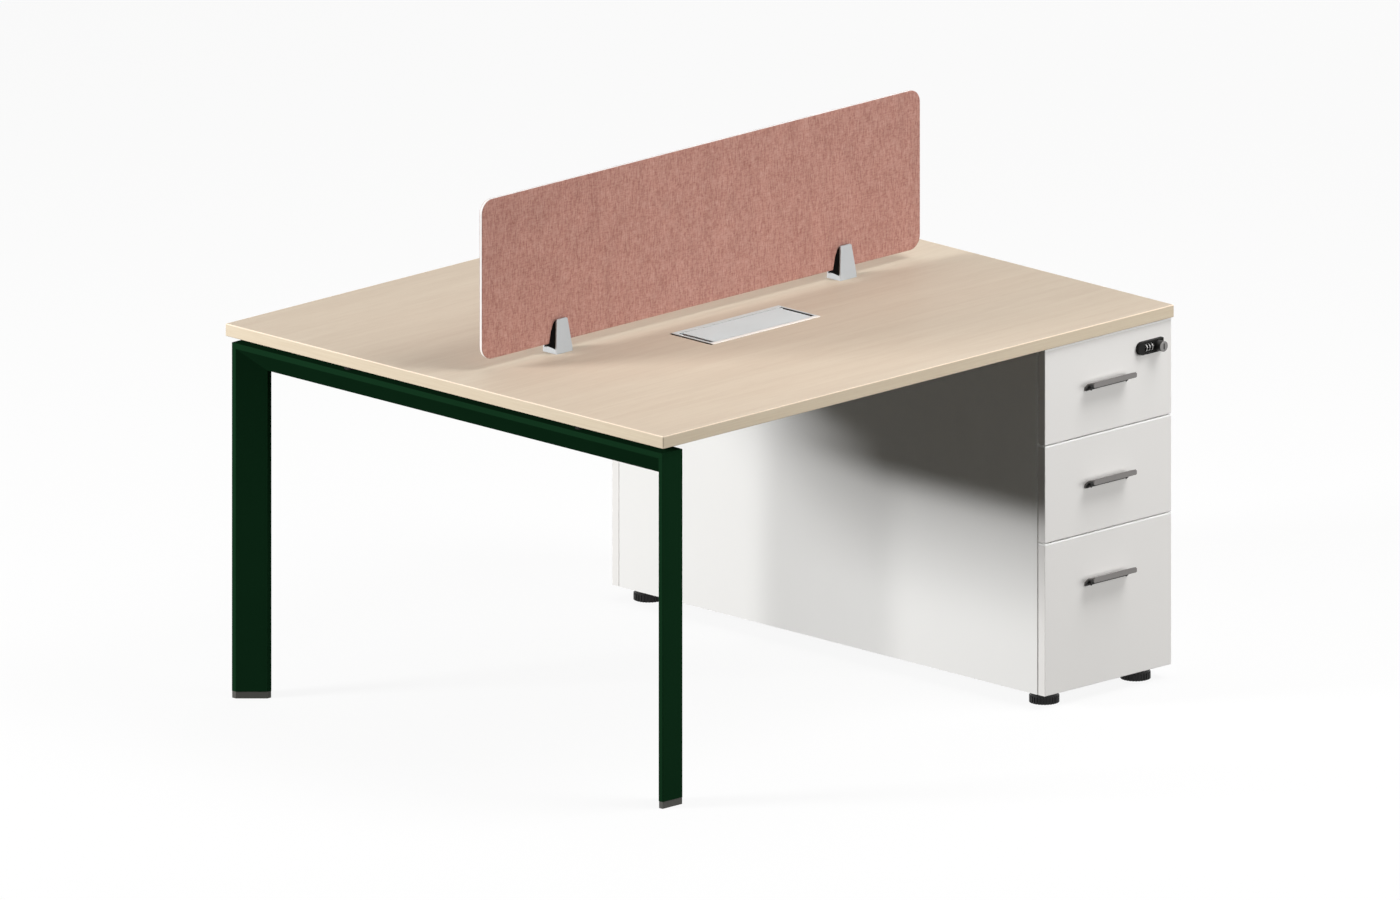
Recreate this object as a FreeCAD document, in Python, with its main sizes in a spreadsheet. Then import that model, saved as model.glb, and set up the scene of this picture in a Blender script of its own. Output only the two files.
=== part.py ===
import FreeCAD, Part
import math
import os
import re
import Sketcher
from FreeCAD import Placement, Rotation, Vector

# Two-person bench workstation, millimetres, +Z up.
# The origin is on the floor under the middle of the worktop.
# X runs along the worktop, from the open frame to the drawer pedestal.
# Y runs across it, from the front user to the back user.

SIZES = [
    # Worktop
    ("top_length", 1400), ("top_depth", 1200), ("top_height", 750), ("top_thickness", 25),
    ("top_corner_radius", 2.5), ("band_thickness", 2), ("band_rounding", 1.8),
    # End frame of cut-corner tube
    ("tube_width", 55), ("tube_flat", 11), ("tube_wall", 2.5), ("tube_rounding", 1.5),
    ("frame_inset_end", 8), ("frame_inset_side", 9.5),
    ("cap_height", 14), ("cap_inset", 0.8), ("cap_plug", 20), ("cap_clearance", 0.3),
    # Round spacers that carry the worktop
    ("spacer_height", 12.5), ("spacer_diameter", 25), ("spacer_from_end", 33),
    ("spacer_spacing", 632), ("spacer_shift", 27), ("stud_diameter", 8), ("stud_depth", 12),
    ("stud_clearance", 0.1),
    # Rails from the frame to the pedestal
    ("rail_height", 40), ("rail_width", 25), ("rail_wall", 2), ("plate_thickness", 4),
    ("plate_width", 90), ("plate_height", 44), ("bolt_spacing", 60), ("bolt_diameter", 8),
    ("bolt_length", 16), ("bolt_head_diameter", 13), ("bolt_head_height", 6),
    ("bolt_socket", 3), ("bolt_clearance", 0.1), ("rail_spacer_share", 0.5),
    # Pedestal carcass
    ("pedestal_width", 348), ("pedestal_bottom", 28), ("panel_thickness", 18),
    ("front_inset", 7), ("front_thickness", 18), ("front_gap", 2.5), ("front_side_gap", 1),
    ("carcass_gap", 2), ("rail_board_depth", 80), ("front_edge_rounding", 1),
    ("split_low_share", 0.439), ("split_high_share", 0.7202),
    # Levelling feet
    ("foot_diameter", 59), ("foot_height", 27.7), ("foot_rib_height", 13.5),
    ("foot_neck_diameter", 56), ("foot_rib_count", 30), ("foot_rib_depth", 1.6),
    ("foot_rib_width", 2.9), ("foot_inset_left", 50), ("foot_inset_right", 48),
    ("foot_inset_front", 51),
    ("foot_stud_diameter", 10), ("foot_stud_length", 16), ("foot_clearance", 0.08),
    ("insert_diameter", 16), ("insert_flange_diameter", 24), ("insert_flange_height", 1.5),
    # Drawer boxes and runners
    ("box_back_space", 66), ("box_wall", 1.5), ("box_hem", 9), ("box_hem_drop", 8),
    ("box_rise", 26), ("box_low_share", 0.755), ("box_middle_share", 0.62),
    ("lock_room", 22), ("runner_space", 12.5), ("runner_height", 38),
    ("runner_wall", 1.5), ("runner_lip", 10), ("runner_clearance", 0.5),
    ("runner_above_box_bottom", 40), ("runner_setback", 3), ("runner_end_space", 7),
    # Drawer handle, a bent strip seen from its end
    ("handle_length", 117), ("handle_shift", 6.5), ("handle_drop", 104.3),
    ("handle_reach", 27), ("handle_rise", 21.5), ("handle_wall", 2.2), ("handle_foot", 7),
    ("handle_shoulder_reach", 9), ("handle_shoulder_rise", 15.5), ("handle_lip", 11),
    ("handle_crown", 3.1), ("handle_hollow", 2.4), ("handle_hollow_shift", 0.9),
    ("handle_heel", 3.5), ("handle_heel_drop", 1.8), ("handle_corner", 3),
    ("handle_end_cut", 3.5),
    ("handle_boss_diameter", 6), ("handle_boss_spacing", 96),
    ("handle_screw_diameter", 3.4),
    # Combination lock
    ("lock_length", 69), ("lock_height", 26), ("lock_depth", 8), ("lock_shift", 110),
    ("lock_drop", 47.5), ("lock_corner", 0.6), ("lock_end_land", 0.05),
    ("lock_face_rounding", 0.4), ("housing_length", 62), ("housing_height", 20),
    ("housing_depth", 16), ("housing_clearance", 0.2),
    ("wheel_diameter", 16), ("wheel_width", 5.6), ("wheel_pitch", 7.7), ("wheel_shift", 5.5),
    ("wheel_proud", 2.5), ("wheel_clearance", 0.4), ("wheel_notch", 1.2),
    ("wheel_notch_angle", 10), ("wheel_digits", 10), ("axle_diameter", 3),
    ("axle_clearance", 0.05), ("knob_diameter", 21), ("knob_length", 15.7), ("knob_gap", 0.3),
    ("knob_shift", 19.5), ("knob_grip_width", 3), ("knob_grip_length", 12),
    ("knob_grip_depth", 1.5), ("knob_rounding", 0.8), ("spindle_diameter", 9),
    ("spindle_length", 42), ("cam_thickness", 3), ("cam_width", 12), ("cam_reach", 31.5),
    ("catch_clearance", 1.5), ("catch_depth", 5),
    # Screen
    ("screen_length", 1200), ("screen_gap", 20), ("screen_height", 320),
    ("screen_thickness", 8), ("screen_corner_radius", 27), ("trim_thickness", 1.6),
    ("trim_rounding", 0.6), ("fabric_thickness", 1),
    # Screen clips
    ("clip_from_middle", 389), ("clip_base_width", 44), ("clip_top_width", 29),
    ("clip_height", 67), ("clip_plate", 3), ("clip_foot", 14.5), ("clip_heel", 9.5),
    ("clip_corner", 4),
    ("jaw_top_thickness", 5), ("jaw_bottom_thickness", 12), ("jaw_height", 64.5),
    ("jaw_foot_width", 58), ("jaw_waist_width", 45), ("jaw_shoulder_width", 31),
    ("jaw_crown_width", 16), ("jaw_waist_share", 0.61), ("jaw_shoulder_share", 0.91),
    # Flip-lid cable boxes
    ("flap_length", 267), ("flap_depth", 89), ("flap_thickness", 3), ("flap_slot", 8.5),
    ("flap_gap", 1), ("flap_corner", 2), ("bezel_length", 295), ("bezel_depth", 115.5),
    ("bezel_thickness", 3), ("bezel_proud", 1), ("bezel_collar", 20), ("bezel_wall", 3),
    ("bezel_corner", 2), ("bezel_rounding", 0.8), ("bezel_end_gap", 5.5), ("bezel_side_gap", 0.3),
    ("bezel_centre", 121.5), ("bezel_shift", 5), ("hinge_pin_diameter", 3), ("hinge_barrel_diameter", 5),
    ("hinge_engagement", 2), ("hinge_clearance", 0.05), ("hinge_end_clearance", 0.3),
    ("rest_reach", 4), ("rest_drop", 0.2), ("rest_thickness", 2), ("groove_depth", 10),
    ("tray_length", 300), ("tray_drop", 62), ("tray_wall", 1.5), ("tray_flange", 18),
    # How far a cutting tool runs past what it cuts
    ("overrun", 5),
]

doc = FreeCAD.newDocument("Workstation")
sheet = doc.addObject("Spreadsheet::Sheet", "Size")
for row, (alias, amount) in enumerate(SIZES, 1):
    sheet.set(f"A{row}", alias)
    sheet.set(f"B{row}", str(amount))
    sheet.setAlias(f"B{row}", alias)
doc.recompute()

sub_parts = []
TOLERANCE = 0.001

FRAME_TOP = "(top_height - top_thickness - spacer_height)"
FRAME_SIDE = "(top_depth / 2 - frame_inset_side)"
FRAME_RIGHT = "(tube_width + frame_inset_end - top_length / 2)"
UNDERSIDE = "(top_height - top_thickness)"
PEDESTAL_LEFT = "(top_length / 2 - pedestal_width)"
PEDESTAL_MIDDLE = "(top_length / 2 - pedestal_width / 2)"
FRONT_FACE = "(top_depth / 2 - front_inset)"
CARCASS_SIDE = "(top_depth / 2 - front_inset - front_thickness - carcass_gap)"
INNER_WIDTH = "(pedestal_width - 2 * panel_thickness)"
RAIL_MIDDLE = f"({FRAME_RIGHT} + ({PEDESTAL_LEFT} - {FRAME_RIGHT}) * rail_spacer_share)"
SPLIT_LOW = f"(pedestal_bottom + ({UNDERSIDE} - pedestal_bottom) * split_low_share)"
SPLIT_HIGH = f"(pedestal_bottom + ({UNDERSIDE} - pedestal_bottom) * split_high_share)"
BOX_DEPTH = f"({FRONT_FACE} - front_thickness - panel_thickness / 2 - box_back_space)"
RUNNER_LENGTH = f"({BOX_DEPTH} - runner_setback - runner_end_space)"
LOCK_LEVEL = f"({UNDERSIDE} - lock_drop)"
WHEEL_AXIS = "(wheel_diameter / 2 - wheel_proud - lock_depth)"
SCREEN_MIDDLE = "(top_height + screen_gap + screen_height / 2)"
SCREEN_HALF = ("screen_length / 2", "screen_height / 2")
FLAP_LEVEL = "(top_height + bezel_proud - hinge_barrel_diameter / 2)"


def size(text):
    """Value of an expression of named sizes."""
    return float(sheet.evalExpression(text))


def linked(text):
    """The expression with each named size read from the sheet."""
    return re.sub(r"\b([a-z]+_[a-z_]+|overrun)\b", r"Size.\1", text)


def bind(thing, path, text):
    thing.setExpression(path, linked(text))


def new_body(label, base=("0", "0", "0"), turned=False):
    """Empty body under its own name, placed by expressions."""
    body = doc.addObject("PartDesign::Body", "Body_" + label)
    body.Label = label
    body.Placement = Placement(Vector(), Rotation(Vector(0, 0, 1), 180 if turned else 0))
    for axis, text in zip("xyz", base):
        bind(body, f"Placement.Base.{axis}", text)
    sub_parts.append(body)
    return body


def new_sketch(body, plane, level="0"):
    """Empty sketch on one of the body's origin planes, moved along the plane's normal."""
    sketch = body.newObject("Sketcher::SketchObject", body.Label + "_sketch")
    support = [item for item in body.Origin.OriginFeatures if item.Role == plane + "_Plane"]
    sketch.AttachmentSupport = (support[0], [""])
    sketch.MapMode = "FlatFace"
    # The XZ plane's normal points along -Y, so a level there is counted along +Y.
    bind(sketch, "AttachmentOffset.Base.z", f"-({level})" if plane == "XZ" else level)
    return sketch


def polygon(sketch, points):
    """Closed outline whose corners are pairs of expressions."""
    corners = [Vector(size(across), size(up), 0) for across, up in points]
    first = sketch.GeometryCount
    count = len(corners)
    for number, corner in enumerate(corners):
        sketch.addGeometry(Part.LineSegment(corner, corners[(number + 1) % count]))
    for number in range(count):
        joint = Sketcher.Constraint("Coincident", first + number, 2, first + (number + 1) % count, 1)
        sketch.addConstraint(joint)
    for number, texts in enumerate(points):
        for kind, text in zip(("DistanceX", "DistanceY"), texts):
            rule = Sketcher.Constraint(kind, -1, 1, first + number, 1, size(text))
            bind(sketch, f"Constraints[{sketch.addConstraint(rule)}]", text)


def rectangle(sketch, left, right, low, high):
    polygon(sketch, [(left, low), (right, low), (right, high), (left, high)])


def circle(sketch, across, up, diameter):
    """Circle with its centre and diameter given by expressions."""
    centre = Vector(size(across), size(up), 0)
    curve = sketch.addGeometry(Part.Circle(centre, Vector(0, 0, 1), size(diameter) / 2))
    for kind, text in (("DistanceX", across), ("DistanceY", up)):
        rule = Sketcher.Constraint(kind, -1, 1, curve, 3, size(text))
        bind(sketch, f"Constraints[{sketch.addConstraint(rule)}]", text)
    rule = Sketcher.Constraint("Diameter", curve, size(diameter))
    bind(sketch, f"Constraints[{sketch.addConstraint(rule)}]", diameter)


def pad(body, sketch, length, backward=False, both_ways=False):
    """Pad along the sketch's normal; on the XZ plane forward means along +Y."""
    feature = body.newObject("PartDesign::Pad", body.Label + "_pad")
    feature.Profile = sketch
    bind(feature, "Length", length)
    along_y = "XZ" in sketch.AttachmentSupport[0][0].Role
    feature.Reversed = backward != along_y
    feature.Midplane = both_ways
    sketch.Visibility = False
    return feature


def pocket(body, sketch, depth=None, backward=True):
    """Pocket of a stated depth, or right through both ways."""
    feature = body.newObject("PartDesign::Pocket", body.Label + "_pocket")
    feature.Profile = sketch
    if depth is None:
        feature.Type = "ThroughAll"
        feature.Midplane = True
    else:
        along_y = "XZ" in sketch.AttachmentSupport[0][0].Role
        feature.Reversed = (not backward) != along_y
        bind(feature, "Length", depth)
    return feature


def edges(body, wanted):
    """Names of the body's edges whose end points and middle pass a test."""
    names = []
    doc.recompute()
    for number, edge in enumerate(body.Shape.Edges, 1):
        if wanted(edge):
            names.append(f"Edge{number}")
    return names


def along(edge, direction):
    """Whether an edge is a straight line along a direction."""
    if len(edge.Vertexes) < 2 or edge.Curve.TypeId != "Part::GeomLine":
        return False
    line = edge.Vertexes[1].Point - edge.Vertexes[0].Point
    return line.normalize().cross(direction).Length < TOLERANCE


def fillet(body, wanted, radius):
    names = edges(body, wanted)
    feature = body.newObject("PartDesign::Fillet", body.Label + "_fillet")
    feature.Base = (feature.BaseFeature or body.Tip, names)
    bind(feature, "Radius", radius)
    return feature


UP = Vector(0, 0, 1)
ALONG = Vector(1, 0, 0)
ACROSS = Vector(0, 1, 0)


def in_plane(body, level):
    """Test for edges that lie across Y at a distance behind the body's own origin."""
    doc.recompute()
    inward = body.Placement.Rotation.multVec(ACROSS).y
    place = body.Placement.Base.y + inward * size(level)
    return lambda edge: all(abs(item.Point.y - place) < TOLERANCE for item in edge.Vertexes)


def near(number, text):
    return abs(number - size(text)) < TOLERANCE


def bezel_sides():
    """Sign, X middle and Y middle of the front and the back cable box."""
    return ((-1, "bezel_shift", "-bezel_centre"), (1, "-bezel_shift", "bezel_centre"))


def spacer_places():
    """X and Y of the two spacers on the frame's beam."""
    left = "-(top_length / 2 - spacer_from_end)"
    return [(left, f"{side} * spacer_spacing / 2 - spacer_shift") for side in (-1, 1)]


def rail_places():
    """Y of the two rails, in line with the spacers."""
    return [text for _, text in spacer_places()]


def worktop():
    """Laminated board, cut out for two cable boxes and drilled for its studs."""
    body = new_body("worktop")
    outline = new_sketch(body, "XY", UNDERSIDE)
    half = ("top_length / 2 - band_thickness", "top_depth / 2 - band_thickness")
    rectangle(outline, f"-({half[0]})", half[0], f"-({half[1]})", half[1])
    pad(body, outline, "top_thickness")
    fillet(body, lambda edge: along(edge, UP), "top_corner_radius - band_thickness")
    rebate = new_sketch(body, "XY", "top_height")
    opening = new_sketch(body, "XY", "top_height")
    groove = new_sketch(body, "XY", "top_height")
    for side, across, middle in bezel_sides():
        # The finger groove at one end, where the box is lifted out.
        near_end = f"{across} + {side} * bezel_length / 2"
        groove_end = f"{near_end} + {side} * bezel_end_gap"
        far_end = f"{across} - {side} * (bezel_length / 2 + bezel_side_gap)"
        deep = "(bezel_depth / 2 + bezel_side_gap)"
        rectangle(rebate, groove_end, far_end, f"{middle} - {deep}", f"{middle} + {deep}")
        rectangle(groove, groove_end, near_end, f"{middle} - {deep}", f"{middle} + {deep}")
        reach = "(flap_length / 2 + flap_slot + bezel_wall + bezel_side_gap)"
        deep = "(flap_depth / 2 + flap_gap + bezel_wall + bezel_side_gap)"
        rectangle(opening, f"{across} - {reach}", f"{across} + {reach}",
                  f"{middle} - {deep}", f"{middle} + {deep}")
    pocket(body, rebate, "bezel_thickness - bezel_proud")
    pocket(body, opening, "top_thickness")
    pocket(body, groove, "groove_depth")
    holes = new_sketch(body, "XY", UNDERSIDE)
    for across, up in spacer_places() + [(RAIL_MIDDLE, place) for place in rail_places()]:
        circle(holes, across, up, "stud_diameter + 2 * stud_clearance")
    pocket(body, holes, "stud_depth + stud_clearance", backward=False)


def edge_band():
    """Band all round the worktop, with its long edges rounded."""
    body = new_body("worktop_edge_band")
    outline = new_sketch(body, "XY", UNDERSIDE)
    rectangle(outline, "-top_length / 2", "top_length / 2", "-top_depth / 2", "top_depth / 2")
    pad(body, outline, "top_thickness")
    fillet(body, lambda edge: along(edge, UP), "top_corner_radius")
    fillet(body, lambda edge: not along(edge, UP), "band_rounding")
    core = new_sketch(body, "XY", UNDERSIDE)
    half = ("top_length / 2 - band_thickness", "top_depth / 2 - band_thickness")
    rounded_rectangle(core, half[0], half[1], "top_corner_radius - band_thickness")
    pocket(body, core)


def rounded_rectangle(sketch, across, up, radius, right="0", middle="0"):
    """Outline of a rectangle about a middle point, with its corners as tangent arcs."""
    wide, high, round_ = size(across), size(up), size(radius)
    centre = Vector(size(right), size(middle), 0)
    first = sketch.GeometryCount
    signs = ((1, 1), (-1, 1), (-1, -1), (1, -1))
    for number, (hand, top) in enumerate(signs):
        corner = centre + Vector(hand * (wide - round_), top * (high - round_), 0)
        full = Part.Circle(corner, Vector(0, 0, 1), round_)
        start = number * math.pi / 2
        sketch.addGeometry(Part.ArcOfCircle(full, start, start + math.pi / 2))
    for number in range(4):
        after = (number + 1) % 4
        start = sketch.Geometry[first + number].EndPoint
        end = sketch.Geometry[first + after].StartPoint
        line = sketch.addGeometry(Part.LineSegment(start, end))
        sketch.addConstraint(Sketcher.Constraint("Tangent", first + number, 2, line, 1))
        sketch.addConstraint(Sketcher.Constraint("Tangent", line, 2, first + after, 1))
    for number, (hand, top) in enumerate(signs):
        places = (("DistanceX", f"{right} + {hand} * ({across} - ({radius}))"),
                  ("DistanceY", f"{middle} + {top} * ({up} - ({radius}))"))
        for kind, text in places:
            rule = Sketcher.Constraint(kind, -1, 1, first + number, 3, size(text))
            bind(sketch, f"Constraints[{sketch.addConstraint(rule)}]", text)
    rule = Sketcher.Constraint("Radius", first, round_)
    bind(sketch, f"Constraints[{sketch.addConstraint(rule)}]", radius)


def tube_outline(inset="0"):
    """Square tube with one corner cut off, as distances from its two outer faces."""
    cut = f"(tube_width - tube_flat + ({inset}) * (sqrt(2) - 1))"
    far = f"(tube_width - ({inset}))"
    near_ = f"({inset})"
    return [(near_, near_), (far, near_), (far, f"(tube_width - {cut})"),
            (f"(tube_width - {cut})", far), (near_, far)]


def leg_outline(side, inset="0"):
    """Leg's section: square corner inside and outwards, cut corner outside and inwards."""
    return [(f"{FRAME_RIGHT} - {across}", f"{side} * ({FRAME_SIDE} - {up})")
            for across, up in tube_outline(inset)]


def mitre(body, side, leg):
    """Cut the 45 degree mitre between leg and beam."""
    low = ("tube_width + overrun", "tube_width + overrun")
    high = ("-overrun", "-overrun")
    third = ("tube_width + overrun", "-overrun") if leg else ("-overrun", "tube_width + overrun")
    sketch = new_sketch(body, "YZ")
    polygon(sketch, [(f"{side} * ({FRAME_SIDE} - ({across}))", f"{FRAME_TOP} - ({up})")
                     for across, up in (low, high, third)])
    pocket(body, sketch)


def frame_leg(label, side):
    body = new_body(label)
    outline = new_sketch(body, "XY", "cap_height")
    polygon(outline, leg_outline(side))
    pad(body, outline, f"{FRAME_TOP} - cap_height")
    fillet(body, lambda edge: along(edge, UP), "tube_rounding")
    bore = new_sketch(body, "XY", "cap_height")
    polygon(bore, leg_outline(side, "tube_wall"))
    pocket(body, bore)
    mitre(body, side, leg=True)


def frame_beam():
    """Top tube of the end frame, mitred at both ends and drilled for studs and bolts."""
    body = new_body("frame_beam")

    def section(inset):
        return [(f"{FRAME_RIGHT} - {across}", f"{FRAME_TOP} - {up}")
                for across, up in tube_outline(inset)]

    outline = new_sketch(body, "XZ")
    polygon(outline, section("0"))
    pad(body, outline, f"2 * {FRAME_SIDE}", both_ways=True)
    fillet(body, lambda edge: along(edge, ACROSS), "tube_rounding")
    bore = new_sketch(body, "XZ")
    polygon(bore, section("tube_wall"))
    pocket(body, bore)
    for side in (-1, 1):
        mitre(body, side, leg=False)
    holes = new_sketch(body, "XY", FRAME_TOP)
    for across, up in spacer_places():
        circle(holes, across, up, "stud_diameter + 2 * stud_clearance")
    pocket(body, holes, "2 * tube_wall")
    holes = new_sketch(body, "YZ", FRAME_RIGHT)
    for place in rail_places():
        for side in (-1, 1):
            circle(holes, f"{place} + {side} * bolt_spacing / 2",
                   f"{FRAME_TOP} - rail_height / 2", "bolt_diameter + 2 * bolt_clearance")
    pocket(body, holes, "2 * tube_wall")


def leg_caps():
    """Floor caps of the two legs, each with a plug up into its tube."""
    body = new_body("leg_end_caps")
    outline = new_sketch(body, "XY")
    plug = new_sketch(body, "XY", "cap_height")
    for side in (-1, 1):
        polygon(outline, leg_outline(side, "cap_inset"))
        polygon(plug, leg_outline(side, "tube_wall + cap_clearance"))
    pad(body, outline, "cap_height")
    pad(body, plug, "cap_plug")


def spacers():
    """Round spacers with studs, on the beam and on the rails, under the worktop."""
    body = new_body("worktop_spacers")
    places = spacer_places() + [(RAIL_MIDDLE, place) for place in rail_places()]
    discs = new_sketch(body, "XY", FRAME_TOP)
    studs = new_sketch(body, "XY", f"{FRAME_TOP} - 2 * tube_wall")
    for across, up in places:
        circle(discs, across, up, "spacer_diameter")
        circle(studs, across, up, "stud_diameter")
    pad(body, discs, "spacer_height")
    pad(body, studs, "2 * tube_wall + spacer_height + stud_depth")


def support_rails():
    """Two box rails, each with a bolted plate at both ends."""
    body = new_body("support_rails")
    low = f"{FRAME_TOP} - rail_height"
    outer = new_sketch(body, "YZ", FRAME_RIGHT)
    inner = new_sketch(body, "YZ", FRAME_RIGHT)
    plates = new_sketch(body, "YZ", FRAME_RIGHT)
    far_plates = new_sketch(body, "YZ", f"{PEDESTAL_LEFT} - plate_thickness")
    bolts = new_sketch(body, "YZ", FRAME_RIGHT)
    studs = new_sketch(body, "XY", FRAME_TOP)
    for place in rail_places():
        rectangle(outer, f"{place} - rail_width / 2", f"{place} + rail_width / 2", low, FRAME_TOP)
        rectangle(inner, f"{place} - rail_width / 2 + rail_wall",
                  f"{place} + rail_width / 2 - rail_wall",
                  f"{low} + rail_wall", f"{FRAME_TOP} - rail_wall")
        for plate in (plates, far_plates):
            middle = f"{FRAME_TOP} - rail_height / 2"
            rectangle(plate, f"{place} - plate_width / 2", f"{place} + plate_width / 2",
                      f"{middle} - plate_height / 2", f"{middle} + plate_height / 2")
        for side in (-1, 1):
            circle(bolts, f"{place} + {side} * bolt_spacing / 2",
                   f"{FRAME_TOP} - rail_height / 2", "bolt_diameter + 2 * bolt_clearance")
        circle(studs, RAIL_MIDDLE, place, "stud_diameter + 2 * stud_clearance")
    pad(body, outer, f"{PEDESTAL_LEFT} - {FRAME_RIGHT}")
    pad(body, plates, "plate_thickness")
    pad(body, far_plates, "plate_thickness")
    # The bore stays behind the pedestal's plate, so that the tube is closed there.
    pocket(body, inner, f"{PEDESTAL_LEFT} - {FRAME_RIGHT} - plate_thickness", backward=False)
    pocket(body, bolts)
    pocket(body, studs, "2 * tube_wall")


def rail_bolts():
    """Socket-head bolts of the rail plates, eight alike."""
    body = new_body("rail_bolts")
    ends = ((1, f"{FRAME_RIGHT} + plate_thickness"), (-1, f"{PEDESTAL_LEFT} - plate_thickness"))
    for inward, face in ends:
        heads = new_sketch(body, "YZ", face)
        shanks = new_sketch(body, "YZ", f"{face} - {inward} * bolt_length")
        sockets = new_sketch(body, "YZ", f"{face} + {inward} * bolt_head_height")
        for place in rail_places():
            for side in (-1, 1):
                across = f"{place} + {side} * bolt_spacing / 2"
                up = f"{FRAME_TOP} - rail_height / 2"
                circle(heads, across, up, "bolt_head_diameter")
                circle(shanks, across, up, "bolt_diameter")
                hexagon(sockets, across, up, "bolt_diameter / 2")
        pad(body, heads, "bolt_head_height", backward=inward < 0)
        pad(body, shanks, "bolt_length + bolt_head_height / 2", backward=inward < 0)
        pocket(body, sockets, "bolt_socket", backward=inward > 0)


def hexagon(sketch, across, up, radius):
    """Six-sided outline about a centre."""
    corners = []
    for turn in range(6):
        corners.append((f"{across} + {radius} * cos({turn * 60})",
                        f"{up} + {radius} * sin({turn * 60})"))
    polygon(sketch, corners)


def pedestal_side(label, left, bolted):
    """Full-depth side panel, white board, down to the feet."""
    body = new_body(label)
    outline = new_sketch(body, "YZ", left)
    rectangle(outline, f"-{CARCASS_SIDE}", CARCASS_SIDE, "pedestal_bottom", UNDERSIDE)
    pad(body, outline, "panel_thickness")
    fillet(body, lambda edge: along(edge, UP), "front_edge_rounding")
    if bolted:
        holes = new_sketch(body, "YZ", left)
        for place in rail_places():
            for side in (-1, 1):
                circle(holes, f"{place} + {side} * bolt_spacing / 2",
                       f"{FRAME_TOP} - rail_height / 2", "bolt_diameter + 2 * bolt_clearance")
        pocket(body, holes, "bolt_length", backward=False)


def foot_places():
    """X and Y of the four levelling feet."""
    left = f"{PEDESTAL_LEFT} + foot_inset_left"
    right = "top_length / 2 - foot_inset_right"
    reach = f"({FRONT_FACE} - foot_inset_front)"
    return [("front_left", left, f"-{reach}"), ("front_right", right, f"-{reach}"),
            ("back_left", left, reach), ("back_right", right, reach)]


def pedestal_base():
    """Bottom board with a bore for each foot's threaded insert."""
    body = new_body("pedestal_base")
    outline = new_sketch(body, "XY", "pedestal_bottom")
    rectangle(outline, f"{PEDESTAL_LEFT} + panel_thickness", "top_length / 2 - panel_thickness",
              f"-{CARCASS_SIDE}", CARCASS_SIDE)
    pad(body, outline, "panel_thickness")
    holes = new_sketch(body, "XY", "pedestal_bottom")
    for _, across, up in foot_places():
        circle(holes, across, up, "insert_diameter")
    pocket(body, holes)


def foot_inserts():
    """Threaded inserts of the feet, with a flange on top of the base board."""
    body = new_body("foot_inserts")
    tubes = new_sketch(body, "XY", "pedestal_bottom")
    flanges = new_sketch(body, "XY", "pedestal_bottom + panel_thickness")
    bores = new_sketch(body, "XY", "pedestal_bottom")
    for _, across, up in foot_places():
        circle(tubes, across, up, "insert_diameter")
        circle(flanges, across, up, "insert_flange_diameter")
        circle(bores, across, up, "foot_stud_diameter + 2 * foot_clearance")
    pad(body, tubes, "panel_thickness + insert_flange_height")
    pad(body, flanges, "insert_flange_height")
    pocket(body, bores)


def levelling_foot(place, across, up):
    """Turned foot with a ribbed grip ring, a plain upper ring and a stud."""
    body = new_body("levelling_foot_" + place, (across, up, "0"))
    disc = new_sketch(body, "XY")
    circle(disc, "0", "0", "foot_diameter")
    pad(body, disc, "foot_rib_height")
    groove = new_sketch(body, "XY")
    rectangle(groove, "-foot_rib_width / 2", "foot_rib_width / 2",
              "foot_diameter / 2 - foot_rib_depth", "foot_diameter / 2 + overrun")
    cut = pocket(body, groove, "foot_rib_height", backward=False)
    ring = body.newObject("PartDesign::PolarPattern", body.Label + "_ribs")
    ring.Originals = [cut]
    ring.Axis = (disc, ["N_Axis"])
    ring.Angle = 360
    ring.Occurrences = int(size("foot_rib_count"))
    bind(ring, "Occurrences", "foot_rib_count")
    body.Tip = ring
    upper = new_sketch(body, "XY", "foot_rib_height")
    circle(upper, "0", "0", "foot_neck_diameter")
    pad(body, upper, "foot_height - foot_rib_height")
    stud = new_sketch(body, "XY", "foot_height")
    circle(stud, "0", "0", "foot_stud_diameter")
    pad(body, stud, "foot_stud_length")


def divider():
    """Board across the middle of the pedestal, between the two banks of drawers."""
    body = new_body("pedestal_divider")
    outline = new_sketch(body, "XZ", "-panel_thickness / 2")
    rectangle(outline, f"{PEDESTAL_LEFT} + panel_thickness", "top_length / 2 - panel_thickness",
              "pedestal_bottom + panel_thickness", UNDERSIDE)
    pad(body, outline, "panel_thickness")


def top_boards():
    """Boards under the worktop at both ends, each with the catch slot of a lock cam."""
    body = new_body("pedestal_top_boards")
    outline = new_sketch(body, "XY", f"{UNDERSIDE} - panel_thickness")
    slots = new_sketch(body, "XY", f"{UNDERSIDE} - panel_thickness")
    for side in (-1, 1):
        rectangle(outline, f"{PEDESTAL_LEFT} + panel_thickness",
                  "top_length / 2 - panel_thickness", f"{side} * {CARCASS_SIDE}",
                  f"{side} * ({CARCASS_SIDE} - rail_board_depth)")
        # The cam turns about the knob's axis behind the drawer front.
        centre = f"({PEDESTAL_MIDDLE} - {side} * (lock_shift + knob_shift))"
        cam_back = f"({FRONT_FACE} - (spindle_length - lock_depth - knob_gap))"
        rectangle(slots, f"{centre} - (cam_width + catch_clearance)",
                  f"{centre} + cam_width + catch_clearance",
                  f"{side} * ({cam_back} - catch_clearance)",
                  f"{side} * ({cam_back} + cam_thickness + catch_clearance)")
    pad(body, outline, "panel_thickness")
    pocket(body, slots, "catch_depth", backward=False)


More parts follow.
